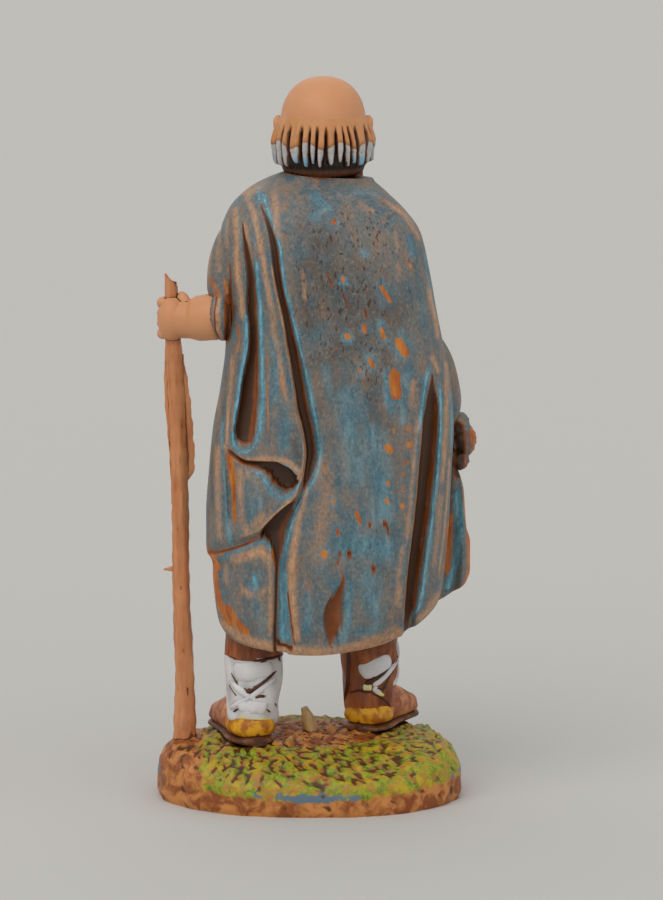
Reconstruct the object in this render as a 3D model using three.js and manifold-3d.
// A moulded crib shepherd, 100 mm tall, in one piece with the staff and the grassy ground it stands on.
// An old bald man in a long cloak. The face looks along -Y, and the left hand, at +X, holds the staff.
// Units are millimetres, +Z is up, and the origin is the middle of the flat underside.
import * as THREE from "three";
import { mergeVertices } from "three/addons/utils/BufferGeometryUtils.js";
import Module from "manifold-3d";

const TOTAL_HEIGHT = 100;
const MIDDLE_X = -1.8; // the neck and the head stand a little towards the figure's right

// The ground: a low oval mound with a steep wall, higher in front than behind
const GROUND = { halfWidth: 21.2, halfDepth: 14.4, crown: 8.8, power: 0.92, columns: 36 };
const GROUND_RIM = { side: 6.4, back: 3.9, front: 7.0 };
const GROUND_WALL = [[0.985, 0], [1, 0.1], [0.995, 0.6], [0.965, 0.95]]; // [share of outline, of height]
const GROUND_TOP = [0.85, 0.6, 0.3];
const GROUND_WAVES = [[3, 1, 0.008], [7, 0, 0.006]]; // [count, phase, share]
const TUFT_HEIGHT = 0.22;
const STUMP = {
  path: [[-0.2, 0.2, 7.5], [0.2, 0.2, 10.0], [0.9, 0.3, 12.2]],
  radius: [[0, 1.3], [0.6, 0.95], [1, 0.4]],
};

// The staff: [height, value] stations from its foot, and the mould flash that stands out on both sides
const STAFF_X = [[4, 17.6], [14, 17.5], [30, 18.0], [46, 18.1], [57, 18.5], [66, 18.9], [73.9, 19.1]];
const STAFF_RADIUS = [
  [4, 1.7], [9, 1.55], [14, 1.35], [30, 1.15], [50, 1.15], [62, 1.2], [68, 1.0], [73.9, 0.8],
];
const STAFF = { foot: 4, top: 73.4, steps: 15 };
const FLASH = { thickness: 0.5, root: 0.8, steps: 5 };
const OUTER_FLASH = [[41, 0.1], [49, 0.35], [56, 0.6], [61, 0.35], [63, 0.1]]; // [height, width]
const INNER_FLASH = [[44.6, 0.6], [47, 1.0], [54, 0.85], [59, 0.45], [62, 0.1]];
const THORN = {
  path: [[18.4, 0, 31.9], [19.4, 0, 31.9], [20.4, 0, 31.8]],
  radius: [[0, 0.5], [0.5, 0.35], [1, 0.08]],
};

// The cloak: how far it reaches to each side, to the back and to the front, as [height, distance]
const CLOAK_LEFT = [
  [21, 11.6], [24, 12.6], [28, 13.4], [32, 14.0], [36, 14.3], [40, 14.4], [46, 14.0], [52, 13.4],
  [58, 12.3], [64, 11.6], [68, 11.6], [74, 12.2], [79, 12.2], [82, 11.2], [84.5, 8.8], [86.3, 5.0],
];
const CLOAK_RIGHT = [
  [21, 11.8], [24, 14.2], [28, 17.2], [32, 18.4], [36, 18.9], [46, 19.5], [52, 19.8],
  [58, 19.4], [64, 18.0], [68, 17.2], [74, 16.3], [79, 15.1], [82, 13.0], [84.5, 10.4], [86.3, 8.6],
];
const CLOAK_BACK = [
  [21, 11.0], [28, 11.8], [36, 11.8], [46, 11.4], [58, 11.0], [68, 10.4],
  [74, 9.8], [79, 8.6], [82, 7.2], [84.5, 5.0], [86.3, 2.6],
];
const CLOAK_FRONT = [
  [21, 8.4], [36, 9.0], [52, 9.6], [64, 9.0], [74, 8.2], [79, 7.2], [82, 6.4], [84.5, 5.4], [86.3, 4.8],
];
const CLOAK_POWER = 2.3; // 2 is an ellipse, and more is boxier
const CLOAK_TOP = { height: 86.6, slant: 0.4 };
const CLOAK_GRID = { back: 42, front: 8, rows: 22 };
const CLOAK_LIP = { inward: 1.3, rise: 0.5, round: 0.35 };
// The hem's height by the angle round the body, in degrees from the figure's left through the back
const HEM = [
  [0, 25], [30, 23], [60, 22.3], [90, 21.7], [115, 22.2], [140, 23],
  [160, 25], [180, 28], [205, 28], [230, 26], [270, 25], [360, 25],
];

// Folds that run down the back. The line is the fold's sharp edge on its left side, as [height, x].
// From it the cloak drops by depth over the wall, stays down for the floor, and rises again over the slope.
const LONG_FOLD = {
  line: [
    [45.6, 1.0], [47, 0.9], [50, 0.2], [52, 0.1], [55, 0.4], [57, 1.3], [62, 2.3],
    [66.8, 3.1], [70.3, 3.8], [74, 4.4], [77.5, 5.0], [81, 5.8], [83.4, 6.8],
  ],
  depth: [[45.6, 0], [46.5, 0.9], [50, 1.5], [57, 1.5], [66, 1.2], [74, 0.9], [80, 0.5], [83.4, 0]],
  floor: [[45.6, 0.3], [50, 0.8], [57, 0.6], [66, 0.5], [83.4, 0.2]],
  slope: [[45.6, 0.5], [50, 1.2], [66, 0.8], [83.4, 0.4]],
  wall: 0.3,
};
const ROUND_ENDED_CHANNEL = {
  line: [
    [50, 10.0], [51.1, 10.1], [55.6, 9.6], [59.2, 9.2], [63, 8.6],
    [66.5, 8.2], [70, 8.2], [75, 8.4], [77.8, 8.7], [80.3, 9.2],
  ],
  depth: [[50, 0], [50.8, 1.5], [55, 1.6], [62, 1.5], [70, 1.1], [77, 0.6], [80.3, 0]],
  floor: [[50, 0.4], [52, 1.9], [59, 1.5], [66, 0.9], [72, 0.6], [80.3, 0.2]],
  slope: [[50, 0.5], [66, 0.5], [80.3, 0.3]],
  wall: 0.5,
};
const SLEEVE_CREASE = {
  line: [[63.5, 11.7], [70, 11.4], [76, 10.8]],
  depth: [[63.5, 0.2], [66, 0.7], [71, 0.7], [76, 0]],
  floor: [[63.5, 0.4], [76, 0.2]],
  slope: [[63.5, 0.8], [76, 0.5]],
  wall: 0.3,
};
const SHORT_VALLEY = {
  line: [[38.5, 10.5], [41.8, 10.8], [44.5, 11.2], [48.6, 11.6]],
  depth: [[38.5, 0], [41, 0.8], [46, 0.8], [48.6, 0.3]],
  floor: [[38.5, 0.3], [44, 0.7], [48.6, 0.7]],
  slope: [[38.5, 0.7], [48.6, 0.7]],
  wall: 0.4,
};
const HEM_CHANNEL = {
  line: [[20, 4.6], [24, 4.6], [27, 4.7], [31, 4.7], [35, 4.8], [38, 4.9], [41.5, 4.4], [43.5, 2.9]],
  depth: [[20, 1.0], [24, 1.0], [30, 0.8], [36, 0.9], [40, 1.4], [43.5, 0]],
  floor: [[20, 1.6], [27, 1.3], [35, 0.8], [40, 1.4], [43.5, 0.4]],
  slope: [[20, 0.6], [30, 0.8], [43.5, 1.2]],
  wall: 0.3,
};
const DROP_HOLLOW = {
  line: [[23, -2.7], [25, -2.3], [27, -2.2], [29.7, -2.6], [31.5, -4.0], [33.4, -4.5]],
  depth: [[23, 0], [24.4, 1.0], [29, 1.0], [31.5, 0.5], [33.4, 0]],
  floor: [[23, 0.2], [25, 1.3], [27.1, 2.0], [29.7, 1.3], [31.5, 0.4], [33.4, 0.2]],
  slope: [[23, 0.4], [33.4, 0.4]],
  wall: 0.4,
};
const RIGHT_FOLD = {
  line: [
    [20, -13.0], [26, -13.2], [29, -13.6], [34.3, -14.2], [39.4, -14.6],
    [44.5, -15.1], [49.5, -15.6], [54.5, -16.1], [58.8, -16.6], [61.2, -16.9],
  ],
  depth: [[20, 1.6], [30, 2.0], [40, 2.2], [50, 2.0], [57, 1.1], [61.2, 0]],
  floor: [[20, 0.9], [29, 1.2], [39, 1.5], [49, 1.7], [55, 1.1], [61.2, 0.2]],
  slope: [[20, 1.1], [50, 1.2], [61.2, 0.5]],
  wall: 0.35,
};
const FOLDS = [
  LONG_FOLD, ROUND_ENDED_CHANNEL, SLEEVE_CREASE, SHORT_VALLEY, HEM_CHANNEL, DROP_HOLLOW, RIGHT_FOLD,
];
// The end of the cloak that falls from the left arm over the rest: its lower edge as [x, height]
const FALLING_EDGE = [
  [0.9, 46.4], [2.3, 43.9], [4.9, 41.5], [7.4, 39.6], [9.9, 37.6], [13.6, 35.0], [15, 34.3],
];
const RELIEF_FADE = [0.05, 0.35]; // where the folds die away at the sides, as the sine of the angle
const FALLING_END = { raised: 0.8, fadesFrom: 52, fadesTo: 62, edge: 0.2 };
// Round bulges and hollows: [x, height, half width, half height, how far it stands out]
const SWELL_STEEPNESS = 1.4;
const SWELLINGS = [
  [8.2, 30.0, 3.3, 6.2, 0.9],
  [7.8, 32.2, 1.2, 1.5, -0.4],
  [3.3, 46.5, 1.7, 2.0, -2.0],
  [6.6, 47.6, 2.6, 0.8, -0.9],
  [7.2, 43.5, 1.8, 3.0, 0.5],
  [-9.5, 40, 4.5, 16, 0.5],
  [0.5, 36, 3.2, 10, 0.4],
];

// The opening down the front, where the tunic shows: its two edges as [height, x]
const OPENING_LEFT = [[18, 6.6], [50, 5.4], [70, 3.6], [82, 2.2], [90, 1.6]];
const OPENING_RIGHT = [[18, -9.0], [50, -8.0], [70, -7.0], [82, -5.6], [90, -5.2]];
const OPENING = { floorY: -5, outsideY: -16, levels: [18, 34, 50, 60, 70, 76, 82, 90] };

// The tunic with its pleats, and the rope belt
const TUNIC_HALF_WIDTH = [[27, 10.5], [40, 9.4], [53, 8.6], [66, 9.2], [78, 8.0], [84, 4.5]];
const TUNIC_HALF_DEPTH = [
  [27, 8.1], [40, 7.9], [50, 8.4], [53, 7.9], [56, 8.5], [66, 7.7], [76, 6.3], [84, 3.9],
];
const TUNIC = { x: -1.5, y: -0.5, levels: [27, 36, 45, 53, 60, 68, 76, 84], columns: 42, pleats: 14 };
const PLEAT = { skirt: 0.35, chest: 0.15, from: 30 };
const BELT = { height: 53, halfWidth: 8.5, halfDepth: 8.3, half: 0.75, tall: 0.9, steps: 9 };
const BELT_END = { path: [[-0.5, -8.6, 53], [0.4, -9.2, 50], [0.7, -9.4, 45]], radius: 0.65 };

// Legs: the middle of each one by height, and each foot from heel to toe as [x, y]
const LEGS = [
  {
    path: [[7.6, 2.4, 8.6], [7.7, 2.4, 13], [7.9, 1.9, 19], [7.6, 1.0, 28]],
    heel: [7.3, 3.4],
    toe: [11.5, -6.6],
  },
  {
    path: [[-7.6, -3.2, 8.6], [-7.8, -3.1, 13], [-8.2, -2.2, 19], [-8.0, -0.6, 28]],
    heel: [-7.4, -2.6],
    toe: [-13.2, -9.0],
  },
];
const LEG_RADIUS = [[0, 3.2], [0.25, 3.3], [0.55, 3.7], [1, 4.2]];
const SOLE_LEVEL = 8.3;
// Along a foot: [share from heel to toe, height over the sole level]
const SHOE_LINE = [[-0.3, 2.2], [0.1, 2.5], [0.5, 2.4], [0.9, 1.7], [1.25, 1.5]];
const SHOE_HALF_WIDTH = [
  [0, 0.6], [0.08, 2.3], [0.25, 3.3], [0.55, 3.0], [0.8, 3.0], [0.94, 2.0], [1, 0.5],
];
const SHOE_HALF_HEIGHT = [
  [0, 0.8], [0.08, 2.2], [0.25, 2.9], [0.55, 2.6], [0.8, 2.0], [0.94, 1.4], [1, 0.4],
];
const SOLE_LINE = [[-0.34, 0.45], [0.5, 0.45], [1.28, 0.45]];
const SOLE_HALF_WIDTH = [
  [0, 1.0], [0.06, 2.5], [0.22, 3.5], [0.5, 3.1], [0.8, 3.25], [0.94, 2.2], [1, 0.8],
];
const SOLE_HALF_HEIGHT = [[0, 0.9]];

// The left arm: sleeve, cuff, forearm, fist round the staff, fingers and thumb
const SLEEVE = {
  path: [[9.0, 0.6, 80.5], [11.0, 0.9, 76.5], [11.4, 1.3, 71.5], [11.3, 1.6, 67.6]],
  halfDepth: [[0, 1.2], [0.2, 2.5], [0.55, 2.9], [0.85, 2.8], [1, 2.0]],
  halfWidth: [[0, 2.0], [0.3, 3.6], [0.7, 4.0], [1, 3.2]],
};
const CUFF = {
  path: [[9.6, 3.0, 67.4], [11.4, 2.2, 67.4], [12.9, 1.6, 67.3]],
  radius: [[0, 3.4], [0.6, 3.9], [0.9, 3.7], [1, 3.2]],
};
const FOREARM = {
  path: [[9.5, 3.2, 67.4], [13.1, 1.6, 67.3], [16.3, 0.5, 66.9], [18.2, 0.2, 66.9]],
  radius: [[0, 3.3], [0.4, 3.2], [0.75, 2.6], [1, 2.6]],
};
const LEFT_FIST = { at: [19.0, 0.2, 67.0], half: [2.15, 2.7, 3.0] };
const LEFT_FINGER = {
  path: [[0.9, 1.3], [2.0, -0.4], [0.9, -2.5], [-0.9, -2.5]],
  radius: 0.78,
  top: 2.1,
  pitch: 1.4,
};
const THUMB = { path: [[16.7, 0.9, 67.9], [17.4, 0.3, 69.4], [17.8, -0.6, 70.3]], radius: 1.0 };
const FINGERS = 4;

// The right arm under the cloak, the fist before it, the bunch of cloth in the fist, and the end that hangs
const RIGHT_ARM = {
  path: [[-14.5, 0.5, 68], [-17.0, -0.6, 61], [-17.9, -3.0, 55], [-18.0, -5.6, 50.8]],
  radius: 3.2,
};
const RIGHT_WRIST = {
  path: [[-17.9, -4.5, 51.2], [-17.7, -7.0, 50.4], [-17.6, -8.6, 49.8]],
  radius: [[0, 2.1], [1, 1.8]],
};
const RIGHT_FIST = { at: [-17.7, -9.4, 49.4], half: [2.4, 2.2, 2.7] };
const RIGHT_FINGER = {
  path: [[1.5, -0.4], [-0.1, -2.1], [-2.1, -0.4], [-2.5, 1.6]],
  radius: 0.84,
  top: 1.8,
  pitch: 1.32,
};
const BUNCH = [
  { at: [-20.7, -5.2, 51.4], half: [1.5, 1.9, 1.7] },
  { at: [-21.5, -5.2, 49.2], half: [1.75, 2.0, 2.2] },
  { at: [-20.8, -5.2, 46.5], half: [1.4, 1.8, 1.5] },
];
const HANGING_OUTER = [
  [27.6, -17.6], [29, -19.3], [30.2, -21.0], [32.4, -22.1], [38, -21.6], [43.6, -21.0], [46.5, -20.3],
];
const HANGING = {
  inner: -15.5,
  y: -5.2,
  half: 1.3,
  wave: 0.5,
  levels: [27.6, 29, 30.6, 33, 38, 42, 46.5],
  columns: 12,
};

// The head: skull, neck, face, hair round the back and sides, and beard
const SKULL = { y: -2.6, z: 93.6, halfWidth: 5.85, halfDepth: 6.5, power: 2.4, columns: 16 };
const SKULL_LEVELS = [-0.95, -0.6, -0.2, 0.2, 0.5, 0.74, 0.9, 0.985];
const NECK = { y: -2.4, radius: 4.1, bottom: 82.5, top: 88 };
// Parts of the face as places [x from its middle, y from its front, height]
const NOSE = {
  path: [[0, 0.5, 94.6], [0, -0.5, 92.7], [0, -1.0, 91.2], [0, 0.6, 90.6]],
  radius: [[0, 0.5], [0.6, 0.8], [1, 0.6]],
};
const BROW = {
  path: [[-3.6, 1.6, 94.6], [-1.8, 0.3, 95.2], [0, 0.4, 94.9], [1.8, 0.3, 95.2], [3.6, 1.6, 94.6]],
  radius: 0.62,
};
const CHEEK = { at: [2.5, 1.5, 91.2], half: [1.7, 1.5, 1.5] };
const MOUSTACHE = { path: [[0.2, -0.2, 90.2], [1.6, -0.1, 89.5], [3.0, 1.2, 88.6]], radius: 0.75 };
const HAIR_OUT = [[84.6, 0.2], [86, 1.0], [87.5, 1.8], [89, 1.95], [90.5, 1.5], [92, 0.75], [93.4, 0.1]];
const HAIR = {
  locks: 24,
  levels: [84.8, 86.6, 88.6, 90.4, 92, 93.6],
  ridge: 0.33,
  groove: -0.77,
  fadesFrom: 91,
  skullFrom: 90,
  faceFrom: 0.35,
  faceTo: 0.8,
  inFace: -1.4,
};
const BEARD_HALF_WIDTH = [[76.5, 0.6], [79, 2.2], [82, 3.8], [85, 4.9], [88, 5.5], [90.6, 5.6]];
const BEARD_OUT = [[76.5, 0.4], [79, 1.4], [82, 2.2], [85, 2.6], [88, 2.0], [90.6, 0.8]];
const BEARD = {
  levels: [76.5, 77.8, 80, 82.6, 85.2, 88, 90.6],
  columns: 20,
  y: 2.6,
  thick: 2.2,
  wave: 0.22,
  locks: 5,
  turn: 0.9,
};

const WELD = 1e-3; // points closer than this are one
const SIDEWAYS = [1, 0, 0];
const BACKWARDS = [0, 1, 0];

const wasm = await Module();
wasm.setup();

// The value at t on a smooth curve through [t, value] stations, which holds its end values beyond them.
function through(stations, t) {
  const last = stations.length - 1;
  if (t <= stations[0][0]) return stations[0][1];
  if (t >= stations[last][0]) return stations[last][1];
  let i = 0;
  while (t > stations[i + 1][0]) i++;
  const rise = (j) => (stations[j + 1][1] - stations[j][1]) / (stations[j + 1][0] - stations[j][0]);
  const slope = (j) => {
    if (j === 0 || j === last) return 0;
    const before = rise(j - 1);
    const after = rise(j);
    return before * after <= 0 ? 0 : (2 * before * after) / (before + after);
  };
  const [t0, v0] = stations[i];
  const [t1, v1] = stations[i + 1];
  const step = t1 - t0;
  const u = (t - t0) / step;
  const ends = v0 * (1 + 2 * u) * (1 - u) ** 2 + v1 * u * u * (3 - 2 * u);
  return ends + slope(i) * step * u * (1 - u) ** 2 - slope(i + 1) * step * u * u * (1 - u);
}

const ease = (low, high, t) => THREE.MathUtils.smoothstep(t, low, high);
const signedPower = (v, p) => Math.sign(v) * Math.abs(v) ** p;

// Points at equal angles all round.
const around = (count, place) => Array.from({ length: count }, (_, k) => place((2 * Math.PI * k) / count));

// A closed skin over rings of equally many points, from first to last, with a fan over each end.
function skin(rings) {
  const count = rings[0].length;
  const points = rings.flat();
  const index = [];
  for (let r = 0; r + 1 < rings.length; r++) {
    for (let k = 0; k < count; k++) {
      const a = r * count + k;
      const b = r * count + ((k + 1) % count);
      index.push(a, b, b + count, a, b + count, a + count);
    }
  }
  for (const [ring, turned] of [[0, true], [rings.length - 1, false]]) {
    const middle = new THREE.Vector3();
    rings[ring].forEach((p) => middle.addScaledVector(p, 1 / count));
    const tip = points.push(middle) - 1;
    for (let k = 0; k < count; k++) {
      const a = ring * count + k;
      const b = ring * count + ((k + 1) % count);
      index.push(...(turned ? [b, a, tip] : [a, b, tip]));
    }
  }
  const geometry = new THREE.BufferGeometry().setFromPoints(points);
  geometry.setIndex(index);
  return geometry;
}

// A geometry as a solid, turned the right way out.
function solid(geometry) {
  const bare = geometry.clone();
  bare.deleteAttribute("normal");
  bare.deleteAttribute("uv");
  const merged = mergeVertices(bare, WELD);
  const vertProperties = new Float32Array(merged.attributes.position.array);
  const triVerts = new Uint32Array(merged.index.array);
  const make = () => new wasm.Manifold(new wasm.Mesh({ numProp: 3, vertProperties, triVerts }));
  const made = make();
  if (made.volume() > 0) return made;
  for (let i = 0; i < triVerts.length; i += 3) {
    [triVerts[i + 1], triVerts[i + 2]] = [triVerts[i + 2], triVerts[i + 1]];
  }
  return make();
}

// A limb along a smooth line through the points of path. across and deep hold its half sizes along it.
function limb(path, across, { deep = across, sides = 8, steps = 5, reference = [0, 0, 1] } = {}) {
  const line = new THREE.CatmullRomCurve3(path.map((p) => new THREE.Vector3(...p)));
  const up = new THREE.Vector3(...reference);
  const rings = [];
  for (let s = 0; s <= steps; s++) {
    const t = s / steps;
    const middle = line.getPoint(t);
    const along = line.getTangent(t);
    const side = new THREE.Vector3().crossVectors(up, along).normalize();
    const other = new THREE.Vector3().crossVectors(along, side);
    const place = (a) =>
      middle
        .clone()
        .addScaledVector(side, through(across, t) * Math.cos(a))
        .addScaledVector(other, through(deep, t) * Math.sin(a));
    rings.push(around(sides, place));
  }
  return solid(skin(rings));
}

// Half sizes of a limb with round ends, each as long as a share of the limb.
function rounded(radius, end = 0.22) {
  const tip = end * 0.35;
  const sizes = [[0, 0.15], [tip, 0.7], [end, 1], [1 - end, 1], [1 - tip, 0.7], [1, 0.15]];
  return sizes.map(([t, share]) => [t, radius * share]);
}

function ball({ at, half }, detail = 8) {
  const geometry = new THREE.SphereGeometry(1, detail, Math.round(detail * 0.6));
  geometry.scale(...half);
  geometry.translate(...at);
  return solid(geometry);
}

// A point of the ground's outline, drawn in to a share of its size.
function groundPlace(a, share) {
  const waves = GROUND_WAVES.map(([count, phase, size]) => size * Math.sin(count * a + phase));
  const wave = waves.reduce((sum, each) => sum + each, 1);
  return [
    GROUND.halfWidth * share * wave * signedPower(Math.cos(a), GROUND.power),
    GROUND.halfDepth * share * wave * signedPower(Math.sin(a), GROUND.power),
  ];
}

function groundRim(a) {
  const { side, back, front } = GROUND_RIM;
  const behind = Math.max(0, Math.sin(a)) ** 2;
  const before = Math.max(0, -Math.sin(a)) ** 2;
  return side + (back - side) * behind + (front - side) * before;
}

function groundHeight(a, share) {
  const [x, y] = groundPlace(a, share);
  const tufts = Math.sin(1.9 * x + 0.7 * y) + Math.sin(1.3 * y - 1.1 * x + 2);
  const rim = groundRim(a);
  return rim + (GROUND.crown - rim) * (1 - share ** 2.4) + TUFT_HEIGHT * tufts * ease(0.2, 0.6, share);
}

function ground() {
  const ring = (share, level) =>
    around(GROUND.columns, (a) => new THREE.Vector3(...groundPlace(a, share), level(a, share)));
  const wall = GROUND_WALL.map(([share, part]) => ring(share, (a) => groundRim(a) * part));
  const top = GROUND_TOP.map((share) => ring(share, groundHeight));
  return solid(skin([...wall, ...top]));
}

function stump() {
  return limb(STUMP.path, STUMP.radius, { reference: BACKWARDS });
}

function staff() {
  const path = [];
  const radius = [];
  for (let s = 0; s <= STAFF.steps; s++) {
    const z = THREE.MathUtils.lerp(STAFF.foot, STAFF.top, s / STAFF.steps);
    path.push([through(STAFF_X, z), 0, z]);
    radius.push([s / STAFF.steps, through(STAFF_RADIUS, z)]);
  }
  return limb(path, radius, { steps: STAFF.steps, reference: BACKWARDS });
}

// A thin fin of mould flash on one side of the staff, rooted inside it.
function flash(widths, side) {
  const low = widths[0][0];
  const high = widths[widths.length - 1][0];
  const path = [];
  const reach = [];
  for (let s = 0; s <= FLASH.steps; s++) {
    const z = THREE.MathUtils.lerp(low, high, s / FLASH.steps);
    const half = (through(widths, z) + FLASH.root) / 2;
    path.push([through(STAFF_X, z) + side * (through(STAFF_RADIUS, z) - FLASH.root + half), 0, z]);
    reach.push([s / FLASH.steps, half]);
  }
  const deep = [[0, FLASH.thickness / 2]];
  return limb(path, reach, { deep, sides: 5, steps: FLASH.steps, reference: BACKWARDS });
}

function thorn() {
  return limb(THORN.path, THORN.radius, { sides: 6, steps: 3 });
}

function leg({ path, heel, toe }) {
  const along = ([share, height]) => [
    THREE.MathUtils.lerp(heel[0], toe[0], share),
    THREE.MathUtils.lerp(heel[1], toe[1], share),
    SOLE_LEVEL + height,
  ];
  return [
    limb(path, LEG_RADIUS, { sides: 10, reference: SIDEWAYS }),
    limb(SHOE_LINE.map(along), SHOE_HALF_WIDTH, { deep: SHOE_HALF_HEIGHT, sides: 10, steps: 7 }),
    limb(SOLE_LINE.map(along), SOLE_HALF_WIDTH, { deep: SOLE_HALF_HEIGHT, steps: 6 }),
  ];
}

// How far one fold drops the cloak at a place.
function foldDrop({ line, depth, floor, slope, wall }, x, z) {
  if (z < line[0][0] || z > line[line.length - 1][0]) return 0;
  const past = through(line, z) - x;
  const flat = through(floor, z);
  return through(depth, z) * ease(-wall, 0, past) * (1 - ease(flat, flat + through(slope, z), past));
}

// How far the falling end of the cloak lies above the rest of it.
function fallingRise(x, z) {
  const { raised, fadesFrom, fadesTo, edge } = FALLING_END;
  const above = ease(-edge, edge, z - through(FALLING_EDGE, x));
  const beside = ease(-edge, edge, x - through(LONG_FOLD.line, z));
  return raised * above * beside * (1 - ease(fadesFrom, fadesTo, z));
}

function swell([atX, atZ, halfWidth, halfHeight, out], x, z) {
  const away = ((x - atX) / halfWidth) ** 2 + ((z - atZ) / halfHeight) ** 2;
  return out * Math.exp(-SWELL_STEEPNESS * away * away);
}

// How far the cloak's back stands out, or in, at a place.
function relief(x, z) {
  const folds = FOLDS.reduce((sum, fold) => sum + foldDrop(fold, x, z), 0);
  const swells = SWELLINGS.reduce((sum, swelling) => sum + swell(swelling, x, z), 0);
  return fallingRise(x, z) + swells - folds;
}

// A point of the cloak at an angle round the body, from the figure's left through the back, and a height.
function cloakPoint(a, z, inward = 0) {
  const left = through(CLOAK_LEFT, z);
  const right = through(CLOAK_RIGHT, z);
  const back = through(CLOAK_BACK, z);
  const front = through(CLOAK_FRONT, z);
  const halfX = (left + right) / 2;
  const halfY = (back + front) / 2;
  const share = 1 - inward / halfY;
  const x = (left - right) / 2 + share * halfX * signedPower(Math.cos(a), 2 / CLOAK_POWER);
  const y = (back - front) / 2 + share * halfY * signedPower(Math.sin(a), 2 / CLOAK_POWER);
  return new THREE.Vector3(x, y + relief(x, z) * ease(...RELIEF_FADE, Math.sin(a)), z);
}

function hemHeight(a) {
  return through(HEM, THREE.MathUtils.radToDeg(a));
}

function cloak() {
  const { back, front, rows } = CLOAK_GRID;
  const angles = Array.from({ length: back + front }, (_, k) =>
    k < back ? (Math.PI * k) / back : Math.PI * (1 + (k - back) / front),
  );
  const top = (a) => CLOAK_TOP.height + CLOAK_TOP.slant * Math.cos(a);
  const rings = [angles.map((a) => cloakPoint(a, hemHeight(a) + CLOAK_LIP.rise, CLOAK_LIP.inward))];
  for (let r = 0; r <= rows; r++) {
    const level = (a) => THREE.MathUtils.lerp(hemHeight(a), top(a), r / rows);
    rings.push(angles.map((a) => cloakPoint(a, level(a), r === 0 ? CLOAK_LIP.round : 0)));
  }
  const opening = OPENING.levels.map((z) => {
    const left = through(OPENING_LEFT, z);
    const right = through(OPENING_RIGHT, z);
    const corners = [
      [left, OPENING.floorY], [right, OPENING.floorY], [right, OPENING.outsideY],
      [left, OPENING.outsideY],
    ];
    return corners.map(([x, y]) => new THREE.Vector3(x, y, z));
  });
  return solid(skin(rings)).subtract(solid(skin(opening)));
}

function tunic() {
  const rings = TUNIC.levels.map((z) => {
    const pleat = THREE.MathUtils.lerp(PLEAT.skirt, PLEAT.chest, ease(PLEAT.from, BELT.height, z));
    const place = (a) => {
      const out = pleat * Math.cos(TUNIC.pleats * a);
      const x = TUNIC.x + (through(TUNIC_HALF_WIDTH, z) + out) * Math.cos(a);
      const y = TUNIC.y + (through(TUNIC_HALF_DEPTH, z) + out) * Math.sin(a);
      return new THREE.Vector3(x, y, z);
    };
    return around(TUNIC.columns, place);
  });
  return solid(skin(rings));
}

function belt() {
  const path = [];
  for (let s = 0; s <= BELT.steps; s++) {
    const a = Math.PI * (1 + s / BELT.steps);
    const x = TUNIC.x + BELT.halfWidth * Math.cos(a);
    path.push([x, TUNIC.y + BELT.halfDepth * Math.sin(a), BELT.height]);
  }
  return [
    limb(path, [[0, BELT.half]], { deep: [[0, BELT.tall]], sides: 6, steps: BELT.steps }),
    limb(BELT_END.path, rounded(BELT_END.radius), { sides: 6, reference: BACKWARDS }),
  ];
}

// Fingers one above the other, each bent round what the hand holds.
function fingers({ at }, { path, radius, top, pitch }) {
  const one = (f) => path.map(([x, y]) => [at[0] + x, at[1] + y, at[2] + top - pitch * f]);
  return Array.from({ length: FINGERS }, (_, f) => limb(one(f), rounded(radius), { sides: 6, steps: 4 }));
}

function sleeve() {
  const shape = { deep: SLEEVE.halfWidth, sides: 12, steps: 6, reference: SIDEWAYS };
  return limb(SLEEVE.path, SLEEVE.halfDepth, shape);
}

function leftArm() {
  return [
    sleeve(),
    limb(CUFF.path, CUFF.radius, { sides: 12, steps: 4 }),
    limb(FOREARM.path, FOREARM.radius, { sides: 10 }),
    ball(LEFT_FIST, 10),
    ...fingers(LEFT_FIST, LEFT_FINGER),
    limb(THUMB.path, rounded(THUMB.radius, 0.3), { sides: 6, steps: 4, reference: BACKWARDS }),
  ];
}

// The flat end of cloth that hangs from the right hand.
function hangingEnd() {
  const { inner, y, half, wave, levels, columns } = HANGING;
  const rings = levels.map((z) => {
    const outer = through(HANGING_OUTER, z);
    const place = (a) => {
      const x = (outer + inner) / 2 + ((inner - outer) / 2) * Math.cos(a);
      return new THREE.Vector3(x, y + wave * Math.sin(1.7 * x) + half * signedPower(Math.sin(a), 0.6), z);
    };
    return around(columns, place);
  });
  return solid(skin(rings));
}

function rightArm() {
  return [
    limb(RIGHT_ARM.path, rounded(RIGHT_ARM.radius, 0.4), { sides: 10, reference: BACKWARDS }),
    limb(RIGHT_WRIST.path, RIGHT_WRIST.radius, { steps: 2 }),
    ball(RIGHT_FIST, 10),
    ...fingers(RIGHT_FIST, RIGHT_FINGER),
    ...BUNCH.map((part) => ball(part)),
    hangingEnd(),
  ];
}

// The skull's half size at a height, as a share of its greatest.
function skullShare(level) {
  return (1 - Math.abs(level) ** SKULL.power) ** (1 / SKULL.power);
}

function skullHalfHeight() {
  return (TOTAL_HEIGHT - SKULL.z) / SKULL_LEVELS[SKULL_LEVELS.length - 1];
}

function skull() {
  const rings = SKULL_LEVELS.map((level) => {
    const share = skullShare(level);
    const place = (a) =>
      new THREE.Vector3(
        MIDDLE_X + SKULL.halfWidth * share * Math.cos(a),
        SKULL.y + SKULL.halfDepth * share * Math.sin(a),
        SKULL.z + skullHalfHeight() * level,
      );
    return around(SKULL.columns, place);
  });
  return solid(skin(rings));
}

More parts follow.
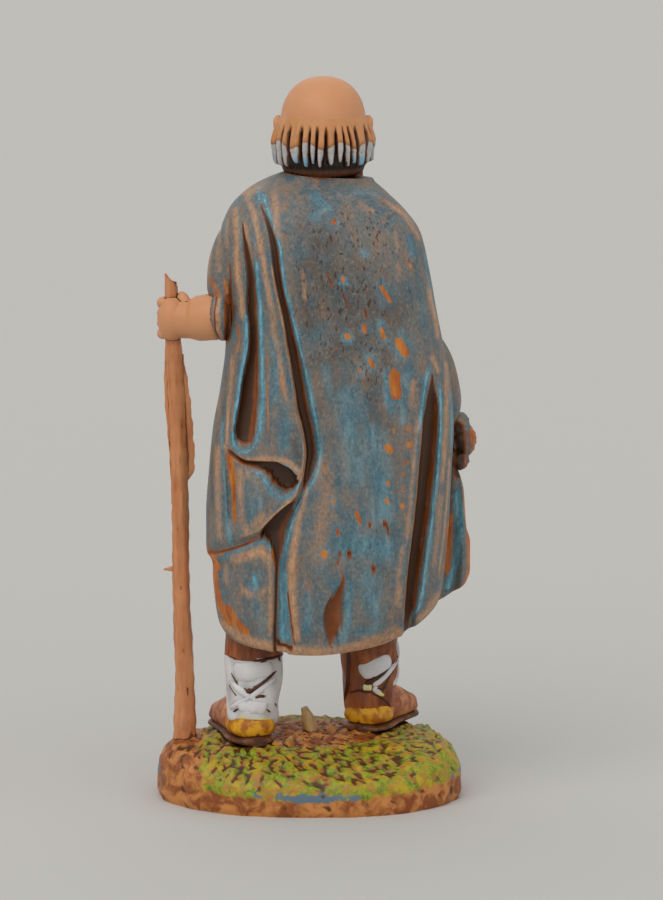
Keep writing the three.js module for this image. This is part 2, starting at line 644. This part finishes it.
// The brow, nose, cheeks and moustache.
function face() {
  const front = SKULL.y - SKULL.halfDepth;
  const place = (side) => ([x, y, z]) => [MIDDLE_X + side * x, front + y, z];
  const parts = [
    limb(NOSE.path.map(place(1)), NOSE.radius, { sides: 6, reference: SIDEWAYS }),
    limb(BROW.path.map(place(1)), rounded(BROW.radius), { sides: 6, steps: 6 }),
  ];
  for (const side of [-1, 1]) {
    parts.push(ball({ at: place(side)(CHEEK.at), half: CHEEK.half }));
    parts.push(limb(MOUSTACHE.path.map(place(side)), rounded(MOUSTACHE.radius), { sides: 6 }));
  }
  return parts;
}

// Locks round the back and sides of the head, with grooves between them.
function hair() {
  const count = 2 * HAIR.locks;
  const rings = HAIR.levels.map((z) => {
    const share = skullShare((Math.max(z, HAIR.skullFrom) - SKULL.z) / skullHalfHeight());
    const cut = 1 - ease(HAIR.fadesFrom, SKULL.z, z);
    return Array.from({ length: count }, (_, k) => {
      const a = (2 * Math.PI * k) / count;
      const inFace = ease(HAIR.faceFrom, HAIR.faceTo, -Math.sin(a));
      const lock = (k % 2 ? HAIR.groove : HAIR.ridge) * cut;
      const out = THREE.MathUtils.lerp(through(HAIR_OUT, z) + lock, HAIR.inFace, inFace);
      const x = MIDDLE_X + (SKULL.halfWidth * share + out) * Math.cos(a);
      return new THREE.Vector3(x, SKULL.y + (SKULL.halfDepth * share + out) * Math.sin(a), z);
    });
  });
  return solid(skin(rings));
}

function beard() {
  const middleY = SKULL.y - SKULL.halfDepth + BEARD.y;
  const rings = BEARD.levels.map((z) => {
    const place = (a) => {
      const wave = BEARD.wave * Math.cos(BEARD.locks * a + BEARD.turn * z);
      const x = MIDDLE_X + (through(BEARD_HALF_WIDTH, z) + wave) * Math.cos(a);
      const y = middleY + (through(BEARD_OUT, z) + BEARD.thick + wave) * signedPower(Math.sin(a), 0.9);
      return new THREE.Vector3(x, y, z);
    };
    return around(BEARD.columns, place);
  });
  return solid(skin(rings));
}

function head() {
  const neck = [[MIDDLE_X, NECK.y, NECK.bottom], [MIDDLE_X, NECK.y, NECK.top]];
  return [
    skull(), limb(neck, [[0, NECK.radius]], { steps: 1, reference: SIDEWAYS }), ...face(), hair(),
    beard(),
  ];
}

// The outer shell of a solid, without the tiny pockets that joins can close off inside it.
function outerShell(joined) {
  const shell = joined.decompose().reduce((a, b) => (a.volume() > b.volume() ? a : b));
  const { vertProperties, triVerts } = shell.getMesh();
  const geometry = new THREE.BufferGeometry();
  geometry.setAttribute("position", new THREE.BufferAttribute(new Float32Array(vertProperties), 3));
  geometry.setIndex(new THREE.BufferAttribute(new Uint32Array(triVerts), 1));
  return geometry;
}

function figurine() {
  const parts = [
    ground(),
    stump(),
    staff(),
    flash(OUTER_FLASH, 1),
    flash(INNER_FLASH, -1),
    thorn(),
    ...LEGS.flatMap(leg),
    tunic(),
    ...belt(),
    cloak(),
    ...leftArm(),
    ...rightArm(),
    ...head(),
  ];
  const joined = outerShell(parts.reduce((whole, part) => whole.add(part)));
  const geometry = outerShell(solid(joined)); // the weld in solid can close off a pocket of its own
  geometry.computeVertexNormals();
  return geometry;
}

const plastic = new THREE.MeshStandardMaterial({ color: 0xb0703f, roughness: 0.5, metalness: 0 });
const body = new THREE.Mesh(figurine(), plastic);
body.name = "shepherd_figurine";
const shepherd = new THREE.Group();
shepherd.add(body);

export default shepherd;
